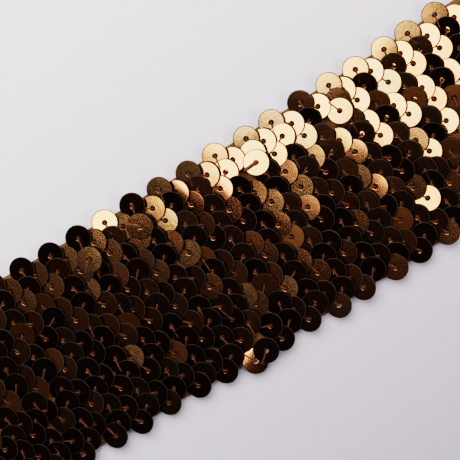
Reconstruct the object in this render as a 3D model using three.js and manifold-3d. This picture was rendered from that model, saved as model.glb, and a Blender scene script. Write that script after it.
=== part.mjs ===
// A cut length of stretch sequin trim: a flat knitted tape, sewn over with five
// zigzag rows of overlapping flat sequins. Millimetres, +X along the trim, +Y
// across it, +Z up; the origin is the middle of the tape's flat back.
// Each row of sequins is one closed relief: the sequins' tilted faces carried
// down to just above the tape, so that each overlap shows as a step.
import * as THREE from "three";
import { mergeVertices } from "three/addons/utils/BufferGeometryUtils.js";
import Module from "manifold-3d";

const wasm = await Module();
wasm.setup();

// The sequins and their seams
const SEQUIN_DIAMETER = 6;
const SEQUIN_SIDES = 10;
const SEQUIN_LIFT = 1.15; // from a row's underside to the middle of each sequin's face
const ROWS = 5;
const ROW_SPACING = 8.9;
const ZIGZAGS = 20; // in each row
const ZIGZAG_LENGTH = 7.25; // from peak to peak along the trim
const ZIGZAG_DEPTH = 6.4; // from peak to valley across the trim
const CLEARANCE = 0.3; // between neighbouring solids

// The tape
const TAPE_THICKNESS = 1;
const TAPE_SIDE_MARGIN = 0.3; // past the outermost holes at each side
const TAPE_END_MARGIN = 1.5; // past the outermost holes at each cut end
const SIDE_BOW = 1.9; // how far the two ends lie bent sideways from the middle
const BOW_STEPS = 16;

// The four sequins of one zigzag. along and across place a sequin's hole from
// the peak; riseAlong and riseAcross are its face's slopes towards +X and +Y.
const STITCHES = [
  { name: "peak", along: 0, across: 0, riseAlong: 0.24, riseAcross: 0.1 },
  { name: "fall", along: 2.9, across: -2.6, riseAlong: 0.25, riseAcross: -0.1 },
  { name: "valley", along: 4.3, across: -ZIGZAG_DEPTH, riseAlong: 0.24, riseAcross: -0.04 },
  { name: "climb", along: 7.2, across: -4.1, riseAlong: 0.24, riseAcross: 0.13 },
];
const EDGE_PEAK_RISE = 0.02; // riseAcross of the first row's peaks, which lie on no other row
const ROW_SHIFTS = [0, 0.4, 0.35, 1.3, 1.6]; // each row's start along the trim

// How unevenly the sequins are sewn
const UNEVEN_ALONG = 0.5;
const UNEVEN_ACROSS = 0.25;
const UNEVEN_RISE = 0.03;

const SEQUIN_FINISH = { color: 0x4a2610, roughness: 0.25, metalness: 0.9 };
const TAPE_FINISH = { color: 0x3a2012, roughness: 0.85, metalness: 0 };

const seamLength = ZIGZAGS * ZIGZAG_LENGTH;
const seamWidth = (ROWS - 1) * ROW_SPACING + ZIGZAG_DEPTH;
const tapeLength = seamLength + 2 * TAPE_END_MARGIN;
const tapeWidth = seamWidth + 2 * TAPE_SIDE_MARGIN;
const rowUnderside = TAPE_THICKNESS + CLEARANCE;

// A fixed scatter between -1 and 1 for each sequin.
function scatter(row, index, salt) {
  const wave = 43758.5453 * Math.sin(12.9898 * index + 78.233 * row + 37.719 * salt);
  return 2 * (wave - Math.floor(wave)) - 1;
}

// How far the trim lies aside at x: nothing in the middle, SIDE_BOW at the ends.
function bowAt(x) {
  return SIDE_BOW * ((2 * x) / seamLength) ** 2;
}

// One sequin of a row, counted along its seam: its hole's place and its slopes.
function sequinOf(row, index) {
  const stitch = STITCHES[index % STITCHES.length];
  const zigzag = Math.floor(index / STITCHES.length);
  const seamStart = ROW_SHIFTS[row] - seamLength / 2;
  const x = seamStart + zigzag * ZIGZAG_LENGTH + stitch.along + UNEVEN_ALONG * scatter(row, index, 1);
  const peakLine = seamWidth / 2 - row * ROW_SPACING;
  const y = peakLine + stitch.across + UNEVEN_ACROSS * scatter(row, index, 2) + bowAt(x);
  const isEdgePeak = row === 0 && stitch.name === "peak";
  const riseAcross = isEdgePeak ? EDGE_PEAK_RISE : stitch.riseAcross;
  return {
    x,
    y,
    riseAlong: stitch.riseAlong + UNEVEN_RISE * scatter(row, index, 3),
    riseAcross: riseAcross + UNEVEN_RISE * scatter(row, index, 4),
  };
}

function sequinsOf(row) {
  return Array.from({ length: ZIGZAGS * STITCHES.length }, (_, index) => sequinOf(row, index));
}

// The height of a sequin's face at a point.
function faceHeight(sequin, x, y) {
  const rise = sequin.riseAlong * (x - sequin.x) + sequin.riseAcross * (y - sequin.y);
  return rowUnderside + SEQUIN_LIFT + rise;
}

function solidOf(geometry) {
  geometry.deleteAttribute("normal");
  geometry.deleteAttribute("uv");
  const merged = mergeVertices(geometry);
  const vertProperties = merged.attributes.position.array;
  const triVerts = new Uint32Array(merged.index.array);
  return new wasm.Manifold(new wasm.Mesh({ numProp: 3, vertProperties, triVerts }));
}

function geometryOf(solid) {
  const mesh = solid.getMesh();
  const geometry = new THREE.BufferGeometry();
  geometry.setAttribute("position", new THREE.BufferAttribute(mesh.vertProperties, 3));
  geometry.setIndex(new THREE.BufferAttribute(mesh.triVerts, 1));
  geometry.computeVertexNormals();
  return geometry;
}

// A round column under a sequin's face. It reaches below the row's underside,
// where the row is cut level.
function columnUnder(sequin) {
  const radius = SEQUIN_DIAMETER / 2;
  const column = new THREE.CylinderGeometry(radius, radius, 1, SEQUIN_SIDES);
  column.rotateX(Math.PI / 2);
  const points = column.attributes.position;
  for (let i = 0; i < points.count; i++) {
    const x = sequin.x + points.getX(i);
    const y = sequin.y + points.getY(i);
    const z = points.getZ(i) > 0 ? faceHeight(sequin, x, y) : 0;
    points.setXYZ(i, x, y, z);
  }
  return solidOf(column);
}

// The room that a sequin takes from the rows beside it: wider by the clearance,
// and through their whole height.
function roomFor(sequin) {
  const radius = SEQUIN_DIAMETER / 2 + CLEARANCE;
  const height = 4 * (rowUnderside + SEQUIN_LIFT);
  const room = new THREE.CylinderGeometry(radius, radius, height, SEQUIN_SIDES);
  room.rotateX(Math.PI / 2);
  room.translate(sequin.x, sequin.y, 0);
  return solidOf(room);
}

// A block whose top is at the rows' underside.
function blockBelowRows() {
  return solidOf(new THREE.BoxGeometry(2 * tapeLength, 2 * tapeWidth, 2 * rowUnderside));
}

// Whether one of two sequins overlaps the other from above.
function liesOver(upper, lower) {
  const reach = SEQUIN_DIAMETER + CLEARANCE;
  if (Math.hypot(upper.x - lower.x, upper.y - lower.y) > reach) return false;
  const x = (upper.x + lower.x) / 2;
  const y = (upper.y + lower.y) / 2;
  return faceHeight(upper, x, y) > faceHeight(lower, x, y);
}

// A row's relief: each sequin's column, cut back where a sequin of a row beside
// it lies over it, and all of them joined.
function rowSolid(row) {
  const sequinsBeside = [...(sequinRows[row - 1] ?? []), ...(sequinRows[row + 1] ?? [])];
  let relief = null;
  for (const sequin of sequinRows[row]) {
    let column = columnUnder(sequin);
    for (const other of sequinsBeside.filter((beside) => liesOver(beside, sequin))) {
      column = column.subtract(roomFor(other));
    }
    relief = relief ? relief.add(column) : column;
  }
  return relief.subtract(blockBelowRows());
}

function rowMesh(row) {
  const mesh = new THREE.Mesh(
    geometryOf(rowSolid(row)),
    new THREE.MeshStandardMaterial(SEQUIN_FINISH),
  );
  mesh.name = `sequin_row_${row + 1}`;
  return mesh;
}

// The tape's outline: two cut ends and two bowed sides.
function tapeOutline() {
  const points = [];
  for (const side of [-1, 1]) {
    for (let step = 0; step <= BOW_STEPS; step++) {
      const x = side * tapeLength * (0.5 - step / BOW_STEPS);
      points.push(new THREE.Vector2(x, (side * tapeWidth) / 2 + bowAt(x)));
    }
  }
  return new THREE.Shape(points);
}

function tapeMesh() {
  const geometry = new THREE.ExtrudeGeometry(tapeOutline(), {
    depth: TAPE_THICKNESS,
    bevelEnabled: false,
  });
  const mesh = new THREE.Mesh(geometry, new THREE.MeshStandardMaterial(TAPE_FINISH));
  mesh.name = "backing_tape";
  return mesh;
}

const sequinRows = Array.from({ length: ROWS }, (_, row) => sequinsOf(row));
const trim = new THREE.Group();
trim.add(tapeMesh());
for (let row = 0; row < ROWS; row++) {
  trim.add(rowMesh(row));
}

export default trim;
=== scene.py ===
import math

import bpy
import numpy as np
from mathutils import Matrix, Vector


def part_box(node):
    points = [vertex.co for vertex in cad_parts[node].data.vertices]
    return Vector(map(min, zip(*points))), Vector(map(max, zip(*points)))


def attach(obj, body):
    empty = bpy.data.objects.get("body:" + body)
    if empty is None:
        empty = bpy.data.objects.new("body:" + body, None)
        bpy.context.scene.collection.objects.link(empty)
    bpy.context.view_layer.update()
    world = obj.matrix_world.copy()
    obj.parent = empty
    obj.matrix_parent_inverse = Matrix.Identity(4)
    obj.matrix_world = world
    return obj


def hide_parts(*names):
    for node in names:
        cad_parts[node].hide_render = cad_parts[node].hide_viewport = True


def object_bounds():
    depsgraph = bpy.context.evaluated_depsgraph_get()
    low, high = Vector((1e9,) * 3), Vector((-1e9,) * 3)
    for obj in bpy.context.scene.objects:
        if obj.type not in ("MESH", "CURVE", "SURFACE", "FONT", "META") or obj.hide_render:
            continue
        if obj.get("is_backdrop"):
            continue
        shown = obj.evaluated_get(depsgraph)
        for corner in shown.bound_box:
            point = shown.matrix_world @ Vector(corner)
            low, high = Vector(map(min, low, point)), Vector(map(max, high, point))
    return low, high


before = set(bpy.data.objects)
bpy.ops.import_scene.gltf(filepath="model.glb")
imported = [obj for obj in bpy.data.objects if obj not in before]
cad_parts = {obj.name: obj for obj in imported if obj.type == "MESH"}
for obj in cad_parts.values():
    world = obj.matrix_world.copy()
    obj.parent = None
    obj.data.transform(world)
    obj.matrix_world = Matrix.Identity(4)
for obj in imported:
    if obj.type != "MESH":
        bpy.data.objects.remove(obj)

cad_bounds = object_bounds()

# Lengths are in millimetres, and become metres where a mesh, lamp or camera is made
MM = 0.001

# The seams, as in the solids
SEQUIN_RADIUS = 3.0
SEQUIN_LIFT = 1.15  # from a row's underside to the middle of each sequin's face
ROWS = 5
ROW_SPACING = 8.9
ZIGZAGS = 20  # in each row
ZIGZAG_LENGTH = 7.25  # from peak to peak along the trim
ZIGZAG_DEPTH = 6.4  # from peak to valley across the trim
SIDE_BOW = 1.9  # how far the two ends lie bent sideways from the middle
ROW_SHIFTS = [0, 0.4, 0.35, 1.3, 1.6]  # each row's start along the trim
UNEVEN_ALONG = 0.5
UNEVEN_ACROSS = 0.25

# The four sequins of one zigzag: the hole's place from the peak, the face's slopes
# towards +X and +Y, and the way in which its stitch leaves the hole, in degrees from +X
STITCHES = [
    dict(name="peak", along=0, across=0, rise_along=0.24, rise_across=0.1, stitch_turn=268),
    dict(name="fall", along=2.9, across=-2.6, rise_along=0.25, rise_across=-0.1, stitch_turn=150),
    dict(
        name="valley", along=4.3, across=-ZIGZAG_DEPTH,
        rise_along=0.24, rise_across=-0.04, stitch_turn=125,
    ),
    dict(name="climb", along=7.2, across=-4.1, rise_along=0.24, rise_across=0.13, stitch_turn=218),
]
EDGE_PEAK_RISE = 0.05  # rise_across of the first row's peaks, which lie on no other row
UNEVEN_STITCH_TURN = 14

# Row by row: how much more it leans than in the solids, along and across, how unevenly its
# sequins lean, and how much further they lie out of place than in the solids
ROW_LEANS = [(0, 0), (0.065, 0.03), (0.105, 0.03), (0.13, 0.03), (0.14, 0.03)]
ROW_UNEVEN_RISES = [0.022, 0.04, 0.065, 0.08, 0.085]
ROW_UNEVEN_PLACES = [0.0, 0.3, 0.5, 0.6, 0.45]

# The sequins' wear on average, from fresh (0) to showing their amber back (1)
EDGE_ROW_WEAR = 0.43
MIDDLE_ROW_WEAR = 0.5

# To the left of here the first row's falls and valleys are worn alike, and lean more
WORN_BELOW_X = -16.0
WORN_WEAR = 0.80
UNEVEN_WORN_WEAR = 0.08
WORN_LEAN = 0.06

# The sewing thread: two plies twisted together
PLY_RADIUS = 0.12
PLY_OFFSET = 0.9  # from the thread's middle, in ply radii
PLY_SIDES = 5
PLY_TWIST_LENGTH = 0.9
THREAD_STEPS = 28

# Sequins that differ from the others, by row and number: some have sprung out of line,
# some only lean, are worn or are sewn differently
SPECIAL_SEQUINS = {
    (0, 16): dict(rise_along=0.3, wear=0.3),
    (0, 23): dict(x=-28.9, y=15.9, z=3.9, rise_along=0.28, rise_across=-0.02, wear=0.88),
    (0, 28): dict(x=-21.8, y=21.2, z=2.45, rise_along=0.13, rise_across=-0.03),
    (0, 31): dict(
        x=-15.5, y=16.4, z=3.9, rise_along=0.2, rise_across=0.1,
        stitch_turn=140, ply_radius=0.24, wear=0.68,
    ),
    (0, 36): dict(rise_along=0.31, wear=0.85),
    (0, 40): dict(rise_along=0.33, wear=0.88),
    (0, 43): dict(rise_along=0.2, rise_across=-0.02, wear=0.5),
    (0, 44): dict(rise_along=0.215, wear=0.5),
    (0, 46): dict(
        x=13.9, y=15.2, z=3.5, rise_along=0.12, rise_across=-0.05,
        stitch_turn=184, ply_radius=0.27,
    ),
    (0, 47): dict(x=14.4, y=17.4, z=2.9, rise_along=0.18, rise_across=-0.05),
    (0, 51): dict(x=21.9, y=17.2, z=2.6, rise_along=0.18, rise_across=-0.05),
    (0, 56): dict(x=29.1, y=21.4, z=2.45, rise_along=0.36, rise_across=0.08),
    (0, 58): dict(x=35.7, y=15.4, z=3.3, rise_along=0.15, rise_across=-0.03),
    (3, 62): dict(x=42.4, y=-11.3, z=3.0, rise_along=0.2, rise_across=-0.06),
    (4, 34): dict(x=-9.0, y=-22.4, z=2.0, rise_along=0.02, rise_across=-0.06),
    (4, 35): dict(x=-5.8, y=-21.6, z=2.9, rise_along=0.3, rise_across=0.1),
}

# The tape: ribs of knitting along it, with a rounded selvedge
TAPE_SIDE_MARGIN = 0.7  # past the seams at each side
TAPE_TOP = 1.1
TAPE_BOTTOM = 0.05
SELVEDGE_WIDTH = 0.5
SELVEDGE_ROUNDNESS = 0.9
RIB_WIDTH = 1.42
RIB_HEIGHT = 0.12
BACK_RIB_SHARE = 0.5  # of the ribs' height, on the tape's back
LOOP_LENGTH = 1.1
LOOP_SHARE = 0.35  # of the ribs' height
LOOP_LEAN = 0.6  # from a rib's side to its ridge, in loops
TAPE_COLUMNS = 270
TAPE_LINES = 120

seam_length = ZIGZAGS * ZIGZAG_LENGTH
seam_width = (ROWS - 1) * ROW_SPACING + ZIGZAG_DEPTH
tape_low, tape_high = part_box("backing_tape")
tape_length = (tape_high.x - tape_low.x) / MM
tape_width = seam_width + 2 * TAPE_SIDE_MARGIN
face_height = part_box("sequin_row_1")[0].z / MM + SEQUIN_LIFT

# The camera's place over the trim, and the trim's turn in the picture
PICTURE_CENTRE = (1.19, 5.4)
PICTURE_TURN = math.radians(31.2)
PICTURE_WIDTH = 102.2
CAMERA_HEIGHT = 400
CAMERA_SENSOR = 36
CAMERA_NEAREST = 10

# One number for each thing that is uneven, so that each has a scatter of its own
SALTS = dict(
    along=1, across=2, rise_along=3, rise_across=4, stitch_turn=5, dish=6, bend=7, bend_turn=8,
    wear=9, row_along=11, row_across=12,
)


def scatter(row, index, thing):
    """A fixed scatter between -1 and 1 of one thing from sequin to sequin."""
    wave = 43758.5453 * math.sin(12.9898 * index + 78.233 * row + 37.719 * SALTS[thing])
    return 2 * (wave - math.floor(wave)) - 1


def bow_at(x):
    """How far the trim lies aside at x."""
    return SIDE_BOW * (2 * x / seam_length) ** 2


def sequin_of(row, index):
    """One sequin of a row, counted along its seam: how it lies, is sewn and is worn."""

    def uneven(thing, most):
        return most * scatter(row, index, thing)

    stitch = STITCHES[index % len(STITCHES)]
    seam_start = ROW_SHIFTS[row] - seam_length / 2
    x = seam_start + index // len(STITCHES) * ZIGZAG_LENGTH + stitch["along"]
    x += uneven("along", UNEVEN_ALONG) + uneven("row_along", ROW_UNEVEN_PLACES[row])
    y = seam_width / 2 - row * ROW_SPACING + stitch["across"]
    y += uneven("across", UNEVEN_ACROSS) + bow_at(x)
    y += uneven("row_across", ROW_UNEVEN_PLACES[row])
    is_edge_peak = row == 0 and stitch["name"] == "peak"
    rise_along = stitch["rise_along"] + ROW_LEANS[row][0]
    rise_across = EDGE_PEAK_RISE if is_edge_peak else stitch["rise_across"] + ROW_LEANS[row][1]
    row_wear = EDGE_ROW_WEAR if row in (0, ROWS - 1) else MIDDLE_ROW_WEAR
    lie = dict(
        x=x,
        y=y,
        z=face_height,
        rise_along=rise_along + uneven("rise_along", ROW_UNEVEN_RISES[row]),
        rise_across=rise_across + uneven("rise_across", ROW_UNEVEN_RISES[row]),
        stitch_turn=stitch["stitch_turn"] + uneven("stitch_turn", UNEVEN_STITCH_TURN),
        ply_radius=PLY_RADIUS,
        wear=row_wear * (1 + scatter(row, index, "wear")),
    )
    if row == 0 and x < WORN_BELOW_X and stitch["name"] in ("fall", "valley"):
        lie["wear"] = WORN_WEAR + uneven("wear", UNEVEN_WORN_WEAR)
        lie["rise_along"] += WORN_LEAN
    lie.update(SPECIAL_SEQUINS.get((row, index), {}))
    return dict(
        row=row,
        index=index,
        centre=np.array([lie["x"], lie["y"], lie["z"]]),
        rise=np.array([lie["rise_along"], lie["rise_across"]]),
        stitch_turn=math.radians(lie["stitch_turn"]),
        ply_radius=lie["ply_radius"],
        wear=lie["wear"],
    )


# How the sequins are settled, so that they hardly cut into one another, and not into the tape
LEAST_OVERLAP = 0.1  # sequins that overlap less are taken to lie apart
FACE_GAP = 0.1  # aimed at between overlapping sequins' faces
TAPE_GAP = 0.12  # between the tape and a sequin's lowest point
SETTLE_STEPS = 300
SETTLE_SHARE = 0.12  # how much of what is still missing each step moves

# Where two sequins' overlap is looked at: shares of the way from its middle to its ends
# along the line between the two holes, and across that line
OVERLAP_PLACES = [
    (0, 0), (1, 0), (-1, 0), (0, 1), (0, -1), (0.6, 0.6), (0.6, -0.6), (-0.6, 0.6), (-0.6, -0.6),
]


def lay_sequins():
    """All the sequins row by row, moved up or down until they hardly cut into one another."""
    in_a_row = ZIGZAGS * len(STITCHES)
    sequins = [sequin_of(row, index) for row in range(ROWS) for index in range(in_a_row)]
    places = np.array([sequin["centre"] for sequin in sequins])
    rises = np.array([sequin["rise"] for sequin in sequins])
    flat, heights = places[:, :2], places[:, 2].copy()
    between = np.linalg.norm(flat[:, None] - flat[None], axis=-1)
    first, second = np.nonzero(np.triu(between < 2 * SEQUIN_RADIUS - LEAST_OVERLAP, 1))
    distance = between[first, second][:, None]
    ahead = (flat[second] - flat[first]) / distance
    aside = np.stack([-ahead[:, 1], ahead[:, 0]], axis=-1)
    reach_ahead = SEQUIN_RADIUS - distance / 2
    reach_aside = np.sqrt(SEQUIN_RADIUS ** 2 - distance ** 2 / 4)
    over = []
    for share_ahead, share_aside in OVERLAP_PLACES:
        point = (flat[first] + flat[second]) / 2
        point = point + share_ahead * reach_ahead * ahead + share_aside * reach_aside * aside
        over.append(
            (rises[first] * (point - flat[first])).sum(axis=1)
            - (rises[second] * (point - flat[second])).sum(axis=1)
        )
    side = np.where(heights[first] - heights[second] + over[0] > 0, 1, -1)
    needed = FACE_GAP - (side * np.array(over)).min(axis=0)
    for _ in range(SETTLE_STEPS):
        missing = np.clip(needed - side * (heights[first] - heights[second]), 0, None)
        push = SETTLE_SHARE * side * missing
        np.add.at(heights, first, push)
        np.add.at(heights, second, -push)
    lowest = TAPE_TOP + TAPE_GAP + SEQUIN_RADIUS * np.linalg.norm(rises, axis=1)
    for sequin, height in zip(sequins, np.maximum(heights, lowest)):
        sequin["centre"][2] = height
    return sequins


def axes_of(sequin):
    """A sequin's own axes: two in its face and its normal, as the columns of a matrix."""
    rise_along, rise_across = sequin["rise"]
    normal = np.array([-rise_along, -rise_across, 1.0])
    normal /= np.linalg.norm(normal)
    first = np.array([1.0, 0.0, rise_along])
    first /= np.linalg.norm(first)
    return np.column_stack([first, np.cross(normal, first), normal])


def add_mesh(name, points, faces, **attributes):
    """A smooth mesh object from points in millimetres and quads, with values at its points."""
    mesh = bpy.data.meshes.new(name)
    faces = np.asarray(faces, dtype=np.int32)
    sides = faces.shape[1]
    mesh.vertices.add(len(points))
    mesh.vertices.foreach_set("co", (np.asarray(points) * MM).astype(np.float32).ravel())
    mesh.loops.add(faces.size)
    mesh.loops.foreach_set("vertex_index", faces.ravel())
    mesh.polygons.add(len(faces))
    mesh.polygons.foreach_set("loop_start", np.arange(0, faces.size, sides, dtype=np.int32))
    mesh.polygons.foreach_set("use_smooth", np.ones(len(faces), dtype=bool))
    mesh.update(calc_edges=True)
    for key, values in attributes.items():
        values = np.asarray(values, dtype=np.float32)
        kind, socket = ("FLOAT", "value") if values.ndim == 1 else ("FLOAT_VECTOR", "vector")
        mesh.attributes.new(key, kind, "POINT").data.foreach_set(socket, values.ravel())
    mesh.validate()
    piece = bpy.data.objects.new(name, mesh)
    bpy.context.scene.collection.objects.link(piece)
    return piece


def ring_faces(rings, sides, closed):
    """Quads between rings of points, each ring with the same number of sides."""
    faces = []
    for ring in range(rings if closed else rings - 1):
        low = ring * sides
        high = (ring + 1) % rings * sides
        for side in range(sides):
            after = (side + 1) % sides
            faces.append((low + side, low + after, high + after, high + side))
    return np.array(faces)


# A sequin's section, from its hole over the face to the rim and back underneath: how far out each
# point is, how high, and which of the row's materials starts there. The dark rim material starts
# on the flat face, so a band of painted shadow runs along each rim for the shadow of one sequin on
# the next. The hole's bevel takes the dark underside material, which is painted shade in the hole
FACE, RIM_AND_SHADOW, UNDERSIDE_AND_SHADE = range(3)
SEQUIN_SECTION = [
    (0.61, -0.05, UNDERSIDE_AND_SHADE), (0.62, -0.01, UNDERSIDE_AND_SHADE),
    (0.63, 0.0, FACE), (0.68, 0.0, FACE), (1.4, 0.0, FACE), (2.2, 0.0, FACE), (2.78, 0.0, FACE),
    (2.82, 0.0, RIM_AND_SHADOW), (2.96, -0.005, RIM_AND_SHADOW), (3.0, -0.025, RIM_AND_SHADOW), (2.997, -0.05, RIM_AND_SHADOW),
    (2.94, -0.06, UNDERSIDE_AND_SHADE), (0.66, -0.06, UNDERSIDE_AND_SHADE),
]
SEQUIN_STEPS = 40

# How far a sequin's rim lies off its flat middle: all round, and at the ends of a bend
DISH = -0.02
UNEVEN_DISH = 0.016
UNEVEN_BEND = 0.02

# How far apart on the film two neighbouring sequins are taken to be cut, and two rows
FILM_STEP = 40
FILM_ROW_STEP = 7


def sequin_points(sequin):
    """A sequin's points: its section turned round, a little domed and bent, and tilted.

    With them, each point's place on the film, apart for each sequin.
    """
    section = np.array(SEQUIN_SECTION)
    angles = np.linspace(0, 2 * math.pi, SEQUIN_STEPS, endpoint=False)
    radius = section[:, :1]
    across = radius * np.cos(angles)
    along = radius * np.sin(angles)
    row, index = sequin["row"], sequin["index"]
    dish = DISH + UNEVEN_DISH * scatter(row, index, "dish")
    bend = UNEVEN_BEND * scatter(row, index, "bend")
    bend_turn = math.pi * scatter(row, index, "bend_turn")
    reach = (across * math.cos(bend_turn) + along * math.sin(bend_turn)) / SEQUIN_RADIUS
    height = section[:, 1:2] + dish * (radius / SEQUIN_RADIUS) ** 2 + bend * reach ** 2
    local = np.stack([across, along, height], axis=-1).reshape(-1, 3)
    apart = np.full_like(across, FILM_STEP * index + FILM_ROW_STEP * row)
    film = np.stack([across, along, apart], axis=-1).reshape(-1, 3)
    return sequin["centre"] + local @ axes_of(sequin).T, film


def make_row(row, sequins, materials):
    """All of a row's sequins, as one mesh that stands for the row's solid."""
    faces = ring_faces(len(SEQUIN_SECTION), SEQUIN_STEPS, closed=True)
    count = len(SEQUIN_SECTION) * SEQUIN_STEPS
    points, film = (np.concatenate(parts) for parts in zip(*map(sequin_points, sequins)))
    all_faces = np.concatenate([faces + count * n for n in range(len(sequins))])
    wear = np.repeat([sequin["wear"] for sequin in sequins], count)
    piece = add_mesh(f"sequins_{row + 1}", points, all_faces, film=film, wear=wear)
    for material in materials:
        piece.data.materials.append(material)
    shown = [material for _, _, material in SEQUIN_SECTION]
    numbers = np.tile(np.repeat(shown, SEQUIN_STEPS), len(sequins))
    piece.data.polygons.foreach_set("material_index", numbers.astype(np.int32))
    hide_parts(f"sequin_row_{row + 1}")
    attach(piece, "root")


# A stitch's way: how far it is out from the middle of the hole, and how high over the face
STITCH_PLACES = [
    (0.05, -0.75), (-0.15, -0.2), (-0.1, 0.14), (0.3, 0.27), (0.9, 0.2),
    (2.6, 0.16), (3.05, 0.08), (3.2, -0.15),
]
STITCH_SINK = 0.1  # how deep it ends in the tape
CURVE_STEPS = 12  # between two of a stitch's places
STITCH_SIDE = (0.3, 1.0, 0.2)  # a direction that no stitch starts in


def distances_along(path):
    """How far along a path each of its points is."""
    return np.concatenate([[0], np.cumsum(np.linalg.norm(np.diff(path, axis=0), axis=1))])


def smooth_path(controls, steps):
    """Evenly spaced points on a smooth curve through the control points."""
    controls = np.asarray(controls, dtype=float)
    padded = np.vstack([2 * controls[0] - controls[1], controls, 2 * controls[-1] - controls[-2]])
    fine = []
    for before, start, end, after in zip(padded, padded[1:], padded[2:], padded[3:]):
        for t in np.linspace(0, 1, CURVE_STEPS, endpoint=False):
            fine.append(0.5 * (
                2 * start + (end - before) * t
                + (2 * before - 5 * start + 4 * end - after) * t ** 2
                + (3 * start - before - 3 * end + after) * t ** 3
            ))
    fine.append(controls[-1])
    fine = np.array(fine)
    travelled = distances_along(fine)
    places = np.linspace(0, travelled[-1], steps)
    return np.stack([np.interp(places, travelled, fine[:, k]) for k in range(3)], axis=-1)


def path_frames(path):
    """Two directions across a path at each of its points, turned as little as possible."""
    tangents = np.gradient(path, axis=0)
    tangents /= np.linalg.norm(tangents, axis=1)[:, None]
    side = np.cross(tangents[0], STITCH_SIDE)
    sides = []
    for tangent in tangents:
        side = side - tangent * side.dot(tangent)
        side /= np.linalg.norm(side)
        sides.append(side)
    sides = np.array(sides)
    return sides, np.cross(tangents, sides)


def tube_points(path, radius, sides):
    """The rings of a tube along a path."""
    first, second = path_frames(path)
    angles = np.linspace(0, 2 * math.pi, sides, endpoint=False)
    rings = (
        path[:, None]
        + radius * np.cos(angles)[None, :, None] * first[:, None]
        + radius * np.sin(angles)[None, :, None] * second[:, None]
    )
    return rings.reshape(-1, 3)


def plied_points(path, ply_radius):
    """The rings of the thread's two plies along a path, one ply after the other."""
    first, second = path_frames(path)
    length = distances_along(path)
    plies = []
    for start in (0, math.pi):
        turn = start + 2 * math.pi * length / PLY_TWIST_LENGTH
        offset = np.cos(turn)[:, None] * first + np.sin(turn)[:, None] * second
        ply_path = path + PLY_OFFSET * ply_radius * offset
        plies.append(tube_points(ply_path, ply_radius, PLY_SIDES))
    return plies


def stitch_path(sequin):
    """One stitch: up through the sequin's hole, over its face to the rim and down."""
    turn = sequin["stitch_turn"]
    outward = np.array([math.cos(turn), math.sin(turn), 0.0])
    local = [outward * out + np.array([0.0, 0.0, up]) for out, up in STITCH_PLACES]
    world = [sequin["centre"] + axes_of(sequin) @ point for point in local]
    down = world[-1].copy()
    down[2] = TAPE_TOP - STITCH_SINK
    return smooth_path(world + [down], THREAD_STEPS)


def make_row_thread(row, sequins, material):
    """All of a row's stitches."""
    faces = ring_faces(THREAD_STEPS, PLY_SIDES, closed=False)
    plies = []
    for sequin in sequins:
        plies.extend(plied_points(stitch_path(sequin), sequin["ply_radius"]))
    count = THREAD_STEPS * PLY_SIDES
    all_faces = np.concatenate([faces + count * n for n in range(len(plies))])
    piece = add_mesh(f"row_thread_{row + 1}", np.concatenate(plies), all_faces)
    piece.data.materials.append(material)
    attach(piece, "root")


def make_tape(material):
    """The knitted tape, as one closed sheet with ribs on both faces."""
    x, y = np.meshgrid(
        np.linspace(-tape_length / 2, tape_length / 2, TAPE_COLUMNS),
        np.linspace(-tape_width / 2, tape_width / 2, TAPE_LINES),
        indexing="ij",
    )
    ribs = np.abs(np.sin(math.pi * y / RIB_WIDTH))
    loops = np.sin(2 * math.pi * (x / LOOP_LENGTH + LOOP_LEAN * ribs))
    relief = RIB_HEIGHT * (ribs + LOOP_SHARE * loops)
    edge = np.clip((tape_width / 2 - np.abs(y)) / SELVEDGE_WIDTH, 0, 1)
    half = (TAPE_TOP - TAPE_BOTTOM) / 2 * np.sqrt(1 - (1 - edge) ** 2 * SELVEDGE_ROUNDNESS)
    middle = (TAPE_TOP + TAPE_BOTTOM) / 2
    top = middle + half + (relief - RIB_HEIGHT) * edge
    bottom = middle - half - (relief - RIB_HEIGHT) * edge * BACK_RIB_SHARE
    points = [np.stack([x, y + bow_at(x), z], axis=-1).reshape(-1, 3) for z in (top, bottom)]

    number = np.arange(x.size).reshape(x.shape)
    corners = [number[:-1, :-1], number[1:, :-1], number[1:, 1:], number[:-1, 1:]]
    upper = np.stack(corners, axis=-1).reshape(-1, 4)
    lower = upper[:, [0, 3, 2, 1]] + x.size
    rim = np.concatenate([number[:, 0], number[-1, 1:], number[-2::-1, -1], number[0, -2:0:-1]])
    after = np.roll(rim, -1)
    wall = np.stack([rim, rim + x.size, after + x.size, after], axis=-1)

    tape = add_mesh("knitted_tape", np.concatenate(points), np.concatenate([upper, lower, wall]))
    tape.data.materials.append(material)
    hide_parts("backing_tape")
    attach(tape, "root")
    return tape


def new_material(name):
    """A material with its shader and two helpers, which add nodes to it and link them."""
    material = bpy.data.materials.new(name)
    material.use_nodes = True
    nodes = material.node_tree.nodes
    shader = nodes["Principled BSDF"]

    def add(kind, **values):
        node = nodes.new(kind)
        for key, value in values.items():
            if key in node.inputs:
                node.inputs[key].default_value = value
            else:
                setattr(node, key, value)
        return node

    return material, shader, add, material.node_tree.links.new


def set_inputs(shader, **values):
    """Sets a shader's sockets by name, with spaces as underscores."""
    for key, value in values.items():
        shader.inputs[key.replace("_", " ")].default_value = value


def add_tones(add, link, vector, texture, tones):
    """A colour between two tones, as a texture goes from 0 to 1."""
    ramp = add("ShaderNodeValToRGB")
    for stop, tone in zip(ramp.color_ramp.elements, tones):
        stop.color = (*tone, 1)
    link(vector, texture.inputs["Vector"])
    link(texture.outputs["Fac"], ramp.inputs["Fac"])
    return ramp.outputs["Color"]


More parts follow.
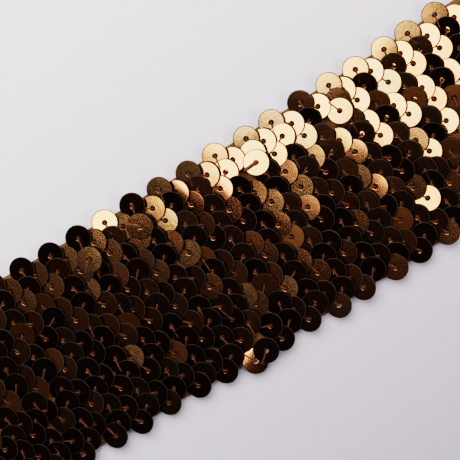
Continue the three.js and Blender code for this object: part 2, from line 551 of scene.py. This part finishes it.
def add_bumps(add, link, vector, layers):
    """A normal bumped by one texture after another, each given with its depth.

    With it, the bumps' strengths, to be set or linked.
    """
    normal = None
    strengths = []
    for texture, depth in layers:
        bump = add("ShaderNodeBump", Distance=depth * MM)
        link(vector, texture.inputs["Vector"])
        link(texture.outputs["Fac"], bump.inputs["Height"])
        if normal:
            link(normal, bump.inputs["Normal"])
        normal = bump.outputs["Normal"]
        strengths.append(bump.inputs["Strength"])
    return normal, strengths


# How the film looks, from fresh to where it shows its amber back, and how deep its
# waves, rings and wrinkles are where they are deepest
FILM_WEAR = [
    dict(wear=0.0, colour=(0.37, 0.158, 0.066), metallic=1.0, roughness=0.05, relief=0.1),
    dict(wear=0.3, colour=(0.38, 0.165, 0.070), metallic=1.0, roughness=0.09, relief=0.2),
    dict(wear=0.5, colour=(0.38, 0.176, 0.076), metallic=1.0, roughness=0.14, relief=0.35),
    dict(wear=0.72, colour=(0.34, 0.183, 0.082), metallic=1.0, roughness=0.17, relief=0.6),
    dict(wear=0.90, colour=(0.28, 0.176, 0.082), metallic=1.0, roughness=0.20, relief=1.0),
    dict(wear=0.91, colour=(0.045, 0.019, 0.0045), metallic=0.75, roughness=0.27, relief=1.0),
    dict(wear=1.0, colour=(0.07, 0.030, 0.0065), metallic=0.75, roughness=0.27, relief=1.0),
]
WAVE_DEPTH = 0.024
RING_DEPTH = 0.003
WRINKLE_DEPTH = 0.01


def sequin_film():
    """Metallised bronze film, finely wrinkled, more so where worn; some shows its amber back."""
    material, shader, add, link = new_material("sequin_film")
    wear = add("ShaderNodeAttribute", attribute_name="wear")

    def by_wear(key):
        ramp = add("ShaderNodeValToRGB")
        stops = ramp.color_ramp.elements
        for number, stage in enumerate(FILM_WEAR):
            stop = stops[number] if number < 2 else stops.new(1.0)
            stop.position = stage["wear"]
            shade = stage[key]
            stop.color = (*shade, 1) if key == "colour" else (shade, shade, shade, 1)
        link(wear.outputs["Fac"], ramp.inputs["Fac"])
        return ramp.outputs["Color"]

    place = add("ShaderNodeAttribute", attribute_name="film")
    waves = add("ShaderNodeTexNoise", Scale=0.7, Detail=1.0)
    rings = add("ShaderNodeTexWave", wave_type="RINGS", rings_direction="Z", Scale=0.75)
    wrinkles = add("ShaderNodeTexNoise", Scale=3.4, Detail=2.0, Roughness=0.6)
    layers = [(waves, WAVE_DEPTH), (rings, RING_DEPTH), (wrinkles, WRINKLE_DEPTH)]
    normal, strengths = add_bumps(add, link, place.outputs["Vector"], layers)
    relief = by_wear("relief")
    for strength in strengths:
        link(relief, strength)
    link(normal, shader.inputs["Normal"])
    link(by_wear("colour"), shader.inputs["Base Color"])
    link(by_wear("metallic"), shader.inputs["Metallic"])
    link(by_wear("roughness"), shader.inputs["Roughness"])
    set_inputs(shader, Coat_Weight=0.2, Coat_Roughness=0.06, Specular_IOR_Level=0.2)
    return material


# The darker and the lighter tone of each plainer material. The edge's dark tones are partly
# painted shadow, the line where one sequin shades the next. The underside's tones are painted
# shade, darker than the film's amber back, for the shade under the sequins and in their holes
RIM_AND_SHADOW_TONES = [(0.005, 0.0035, 0.0022), (0.018, 0.012, 0.0065)]
UNDERSIDE_AND_SHADE_TONES = [(0.01, 0.005, 0.002), (0.025, 0.011, 0.004)]
THREAD_TONES = [(0.012, 0.0035, 0.0006), (0.08, 0.026, 0.0048)]
KNIT_TONES = [(0.03, 0.012, 0.003), (0.11, 0.055, 0.014)]


def plain_film(name, tones, roughness):
    """The film's cut edge or underside, faintly mottled, and darkened as painted shade."""
    material, shader, add, link = new_material(name)
    place = add("ShaderNodeTexCoord").outputs["Object"]
    mottle = add("ShaderNodeTexNoise", Scale=1500.0, Detail=1.0)
    link(add_tones(add, link, place, mottle, tones), shader.inputs["Base Color"])
    set_inputs(shader, Roughness=roughness, Specular_IOR_Level=0.12)
    return material


def thread_yarn():
    """Shiny copper-brown sewing thread."""
    material, shader, add, link = new_material("sewing_thread")
    place = add("ShaderNodeTexCoord").outputs["Object"]
    fibres = add("ShaderNodeTexNoise", Scale=3000.0, Detail=2.0)
    link(add_tones(add, link, place, fibres, THREAD_TONES), shader.inputs["Base Color"])
    set_inputs(shader, Roughness=0.36, Specular_IOR_Level=0.25)
    return material


# How deep the knitting's fine loops look, and how strongly
KNIT_DEPTH = 0.1
KNIT_STRENGTH = 0.5


def tape_knit():
    """Golden-brown knitting."""
    material, shader, add, link = new_material("knitted_tape")
    place = add("ShaderNodeTexCoord").outputs["Object"]
    loops = add("ShaderNodeTexWave", Scale=700.0, Distortion=3.0, Detail=2.0)
    link(add_tones(add, link, place, loops, KNIT_TONES), shader.inputs["Base Color"])
    normal, (strength,) = add_bumps(add, link, place, [(loops, KNIT_DEPTH)])
    strength.default_value = KNIT_STRENGTH
    link(normal, shader.inputs["Normal"])
    set_inputs(shader, Roughness=0.8, Specular_IOR_Level=0.2)
    return material


# The floor: its tones at the picture's upper left and lower right, a painted falloff of the lamps'
# light that darkens it towards the lower right, how it fades from one to the other (the scale is
# for a metre), and its fine weave
FLOOR_REACH = 1500
FLOOR_PAINTED_FALLOFF_TONES = [(0.50, 0.54, 0.64), (0.13, 0.14, 0.17)]
FLOOR_PAINTED_FALLOFF_TURN = math.radians(45) + PICTURE_TURN
FLOOR_PAINTED_FALLOFF_SCALE = 4.5
FLOOR_PAINTED_FALLOFF_START = 0.5
WEAVE_DEPTH = 0.06
WEAVE_STRENGTH = 0.25


def pale_cloth_painted_falloff():
    """The pale floor: a fine weave, with painted shade that darkens it towards the picture's lower
    right, standing in for the lamps' falloff.
    """
    material, shader, add, link = new_material("pale_cloth_painted_falloff")
    place = add("ShaderNodeTexCoord").outputs["Object"]
    falloff_place = add(
        "ShaderNodeMapping",
        Location=(FLOOR_PAINTED_FALLOFF_START, 0, 0),
        Rotation=(0, 0, FLOOR_PAINTED_FALLOFF_TURN),
        Scale=(FLOOR_PAINTED_FALLOFF_SCALE,) * 3,
    )
    link(place, falloff_place.inputs["Vector"])
    # A gradient of painted shade: the lamps' falloff towards the picture's lower right
    painted_falloff = add("ShaderNodeTexGradient")
    tones = add_tones(add, link, falloff_place.outputs["Vector"], painted_falloff, FLOOR_PAINTED_FALLOFF_TONES)
    link(tones, shader.inputs["Base Color"])
    square = add("ShaderNodeMapping", Rotation=(0, 0, PICTURE_TURN))
    link(place, square.inputs["Vector"])
    yarns = dict(Scale=400.0, Distortion=2.5, Detail=2.0)
    weave = [add("ShaderNodeTexWave", bands_direction=way, **yarns) for way in ("X", "Y")]
    layers = [(texture, WEAVE_DEPTH) for texture in weave]
    normal, strengths = add_bumps(add, link, square.outputs["Vector"], layers)
    for strength in strengths:
        strength.default_value = WEAVE_STRENGTH
    link(normal, shader.inputs["Normal"])
    set_inputs(shader, Roughness=0.9)
    return material


def make_floor():
    """A level floor under the trim."""
    signs = [(-1, -1), (1, -1), (1, 1), (-1, 1)]
    corners = [(FLOOR_REACH * x, FLOOR_REACH * y, 0) for x, y in signs]
    floor = add_mesh("floor", corners, [(0, 1, 2, 3)])
    floor.data.materials.append(pale_cloth_painted_falloff())
    floor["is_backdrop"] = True


def picture_place(right, up, height):
    """A place given from the picture's middle, towards its right and its top."""
    c, s = math.cos(PICTURE_TURN), math.sin(PICTURE_TURN)
    x = PICTURE_CENTRE[0] + right * c + up * s
    y = PICTURE_CENTRE[1] - right * s + up * c
    return Vector((x, y, height)) * MM


def make_camera():
    """Straight over the trim, turned so that the trim rises to the right."""
    camera = bpy.data.cameras.new("camera")
    camera.sensor_width = CAMERA_SENSOR
    camera.lens = CAMERA_SENSOR * (CAMERA_HEIGHT - face_height) / PICTURE_WIDTH
    camera.clip_start = CAMERA_NEAREST * MM
    item = bpy.data.objects.new("camera", camera)
    bpy.context.scene.collection.objects.link(item)
    item.location = picture_place(0, 0, CAMERA_HEIGHT)
    item.rotation_euler = (0, 0, -PICTURE_TURN)
    bpy.context.scene.camera = item


# The lamps: how far over the trim they hang, where their near corners are from the
# picture's middle along the lamps' own sides, their sizes and how bright they look
LIGHT_TURN = math.radians(52.4)
LAMP_TINT = (1.0, 0.86, 0.81)
LAMPS = {
    "softbox": dict(height=600, corner=(-250, 48), size=(1000, 900), radiance=8.9),
    "softbox_middle": dict(height=590, corner=(-234, 120), size=(900, 700), radiance=2.0),
    "dim_panel": dict(height=900, corner=(-720, 324), size=(1300, 1200), radiance=0.042),
    "right_lamp": dict(height=320, corner=(100, -480), size=(300, 300), radiance=12.0),
}
ROOM_COLOUR = (1.0, 0.75, 0.6, 1)
ROOM_STRENGTH = 0.015


def add_panel(name, height, corner, size, radiance):
    """A level rectangular lamp facing down, placed by its near corner."""
    lamp = bpy.data.lights.new(name, "AREA")
    lamp.shape = "RECTANGLE"
    lamp.size, lamp.size_y = size[0] * MM, size[1] * MM
    lamp.energy = radiance * math.pi * lamp.size * lamp.size_y
    lamp.color = LAMP_TINT
    item = bpy.data.objects.new(name, lamp)
    bpy.context.scene.collection.objects.link(item)
    first, second = (corner[n] + size[n] / 2 for n in range(2))
    c, s = math.cos(LIGHT_TURN), math.sin(LIGHT_TURN)
    item.location = picture_place(first * c - second * s, first * s + second * c, height)
    item.rotation_euler = (0, 0, LIGHT_TURN - PICTURE_TURN)


def make_lights():
    """A softbox and a dim panel at the picture's upper left, a lamp at its right, a dark room."""
    for name, lamp in LAMPS.items():
        add_panel(name, **lamp)
    world = bpy.data.worlds.new("surroundings")
    world.use_nodes = True
    background = world.node_tree.nodes["Background"]
    background.inputs["Color"].default_value = ROOM_COLOUR
    background.inputs["Strength"].default_value = ROOM_STRENGTH
    bpy.context.scene.world = world


def main():
    """The tape and its rows of sequins, with their floor, camera and lamps."""
    # The film's face; its edge, dark as a painted shadow line; its underside, dark as painted
    # shade
    film = [
        sequin_film(),
        plain_film("sequin_edge_and_painted_shadow", RIM_AND_SHADOW_TONES, roughness=0.45),
        plain_film("sequin_back_and_painted_shade", UNDERSIDE_AND_SHADE_TONES, roughness=0.6),
    ]
    yarn = thread_yarn()
    tape = make_tape(tape_knit())
    sequins = lay_sequins()
    for row in range(ROWS):
        in_row = [sequin for sequin in sequins if sequin["row"] == row]
        make_row(row, in_row, film)
        make_row_thread(row, in_row, yarn)
    make_floor()
    make_camera()
    make_lights()
    bpy.context.scene.view_settings.view_transform = "Filmic"
    bpy.context.scene.view_settings.look = "High Contrast"
    sizes = [[list(corner) for corner in box] for box in (cad_bounds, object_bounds())]
    dict(cad=sizes[0], visual=sizes[1])


main()
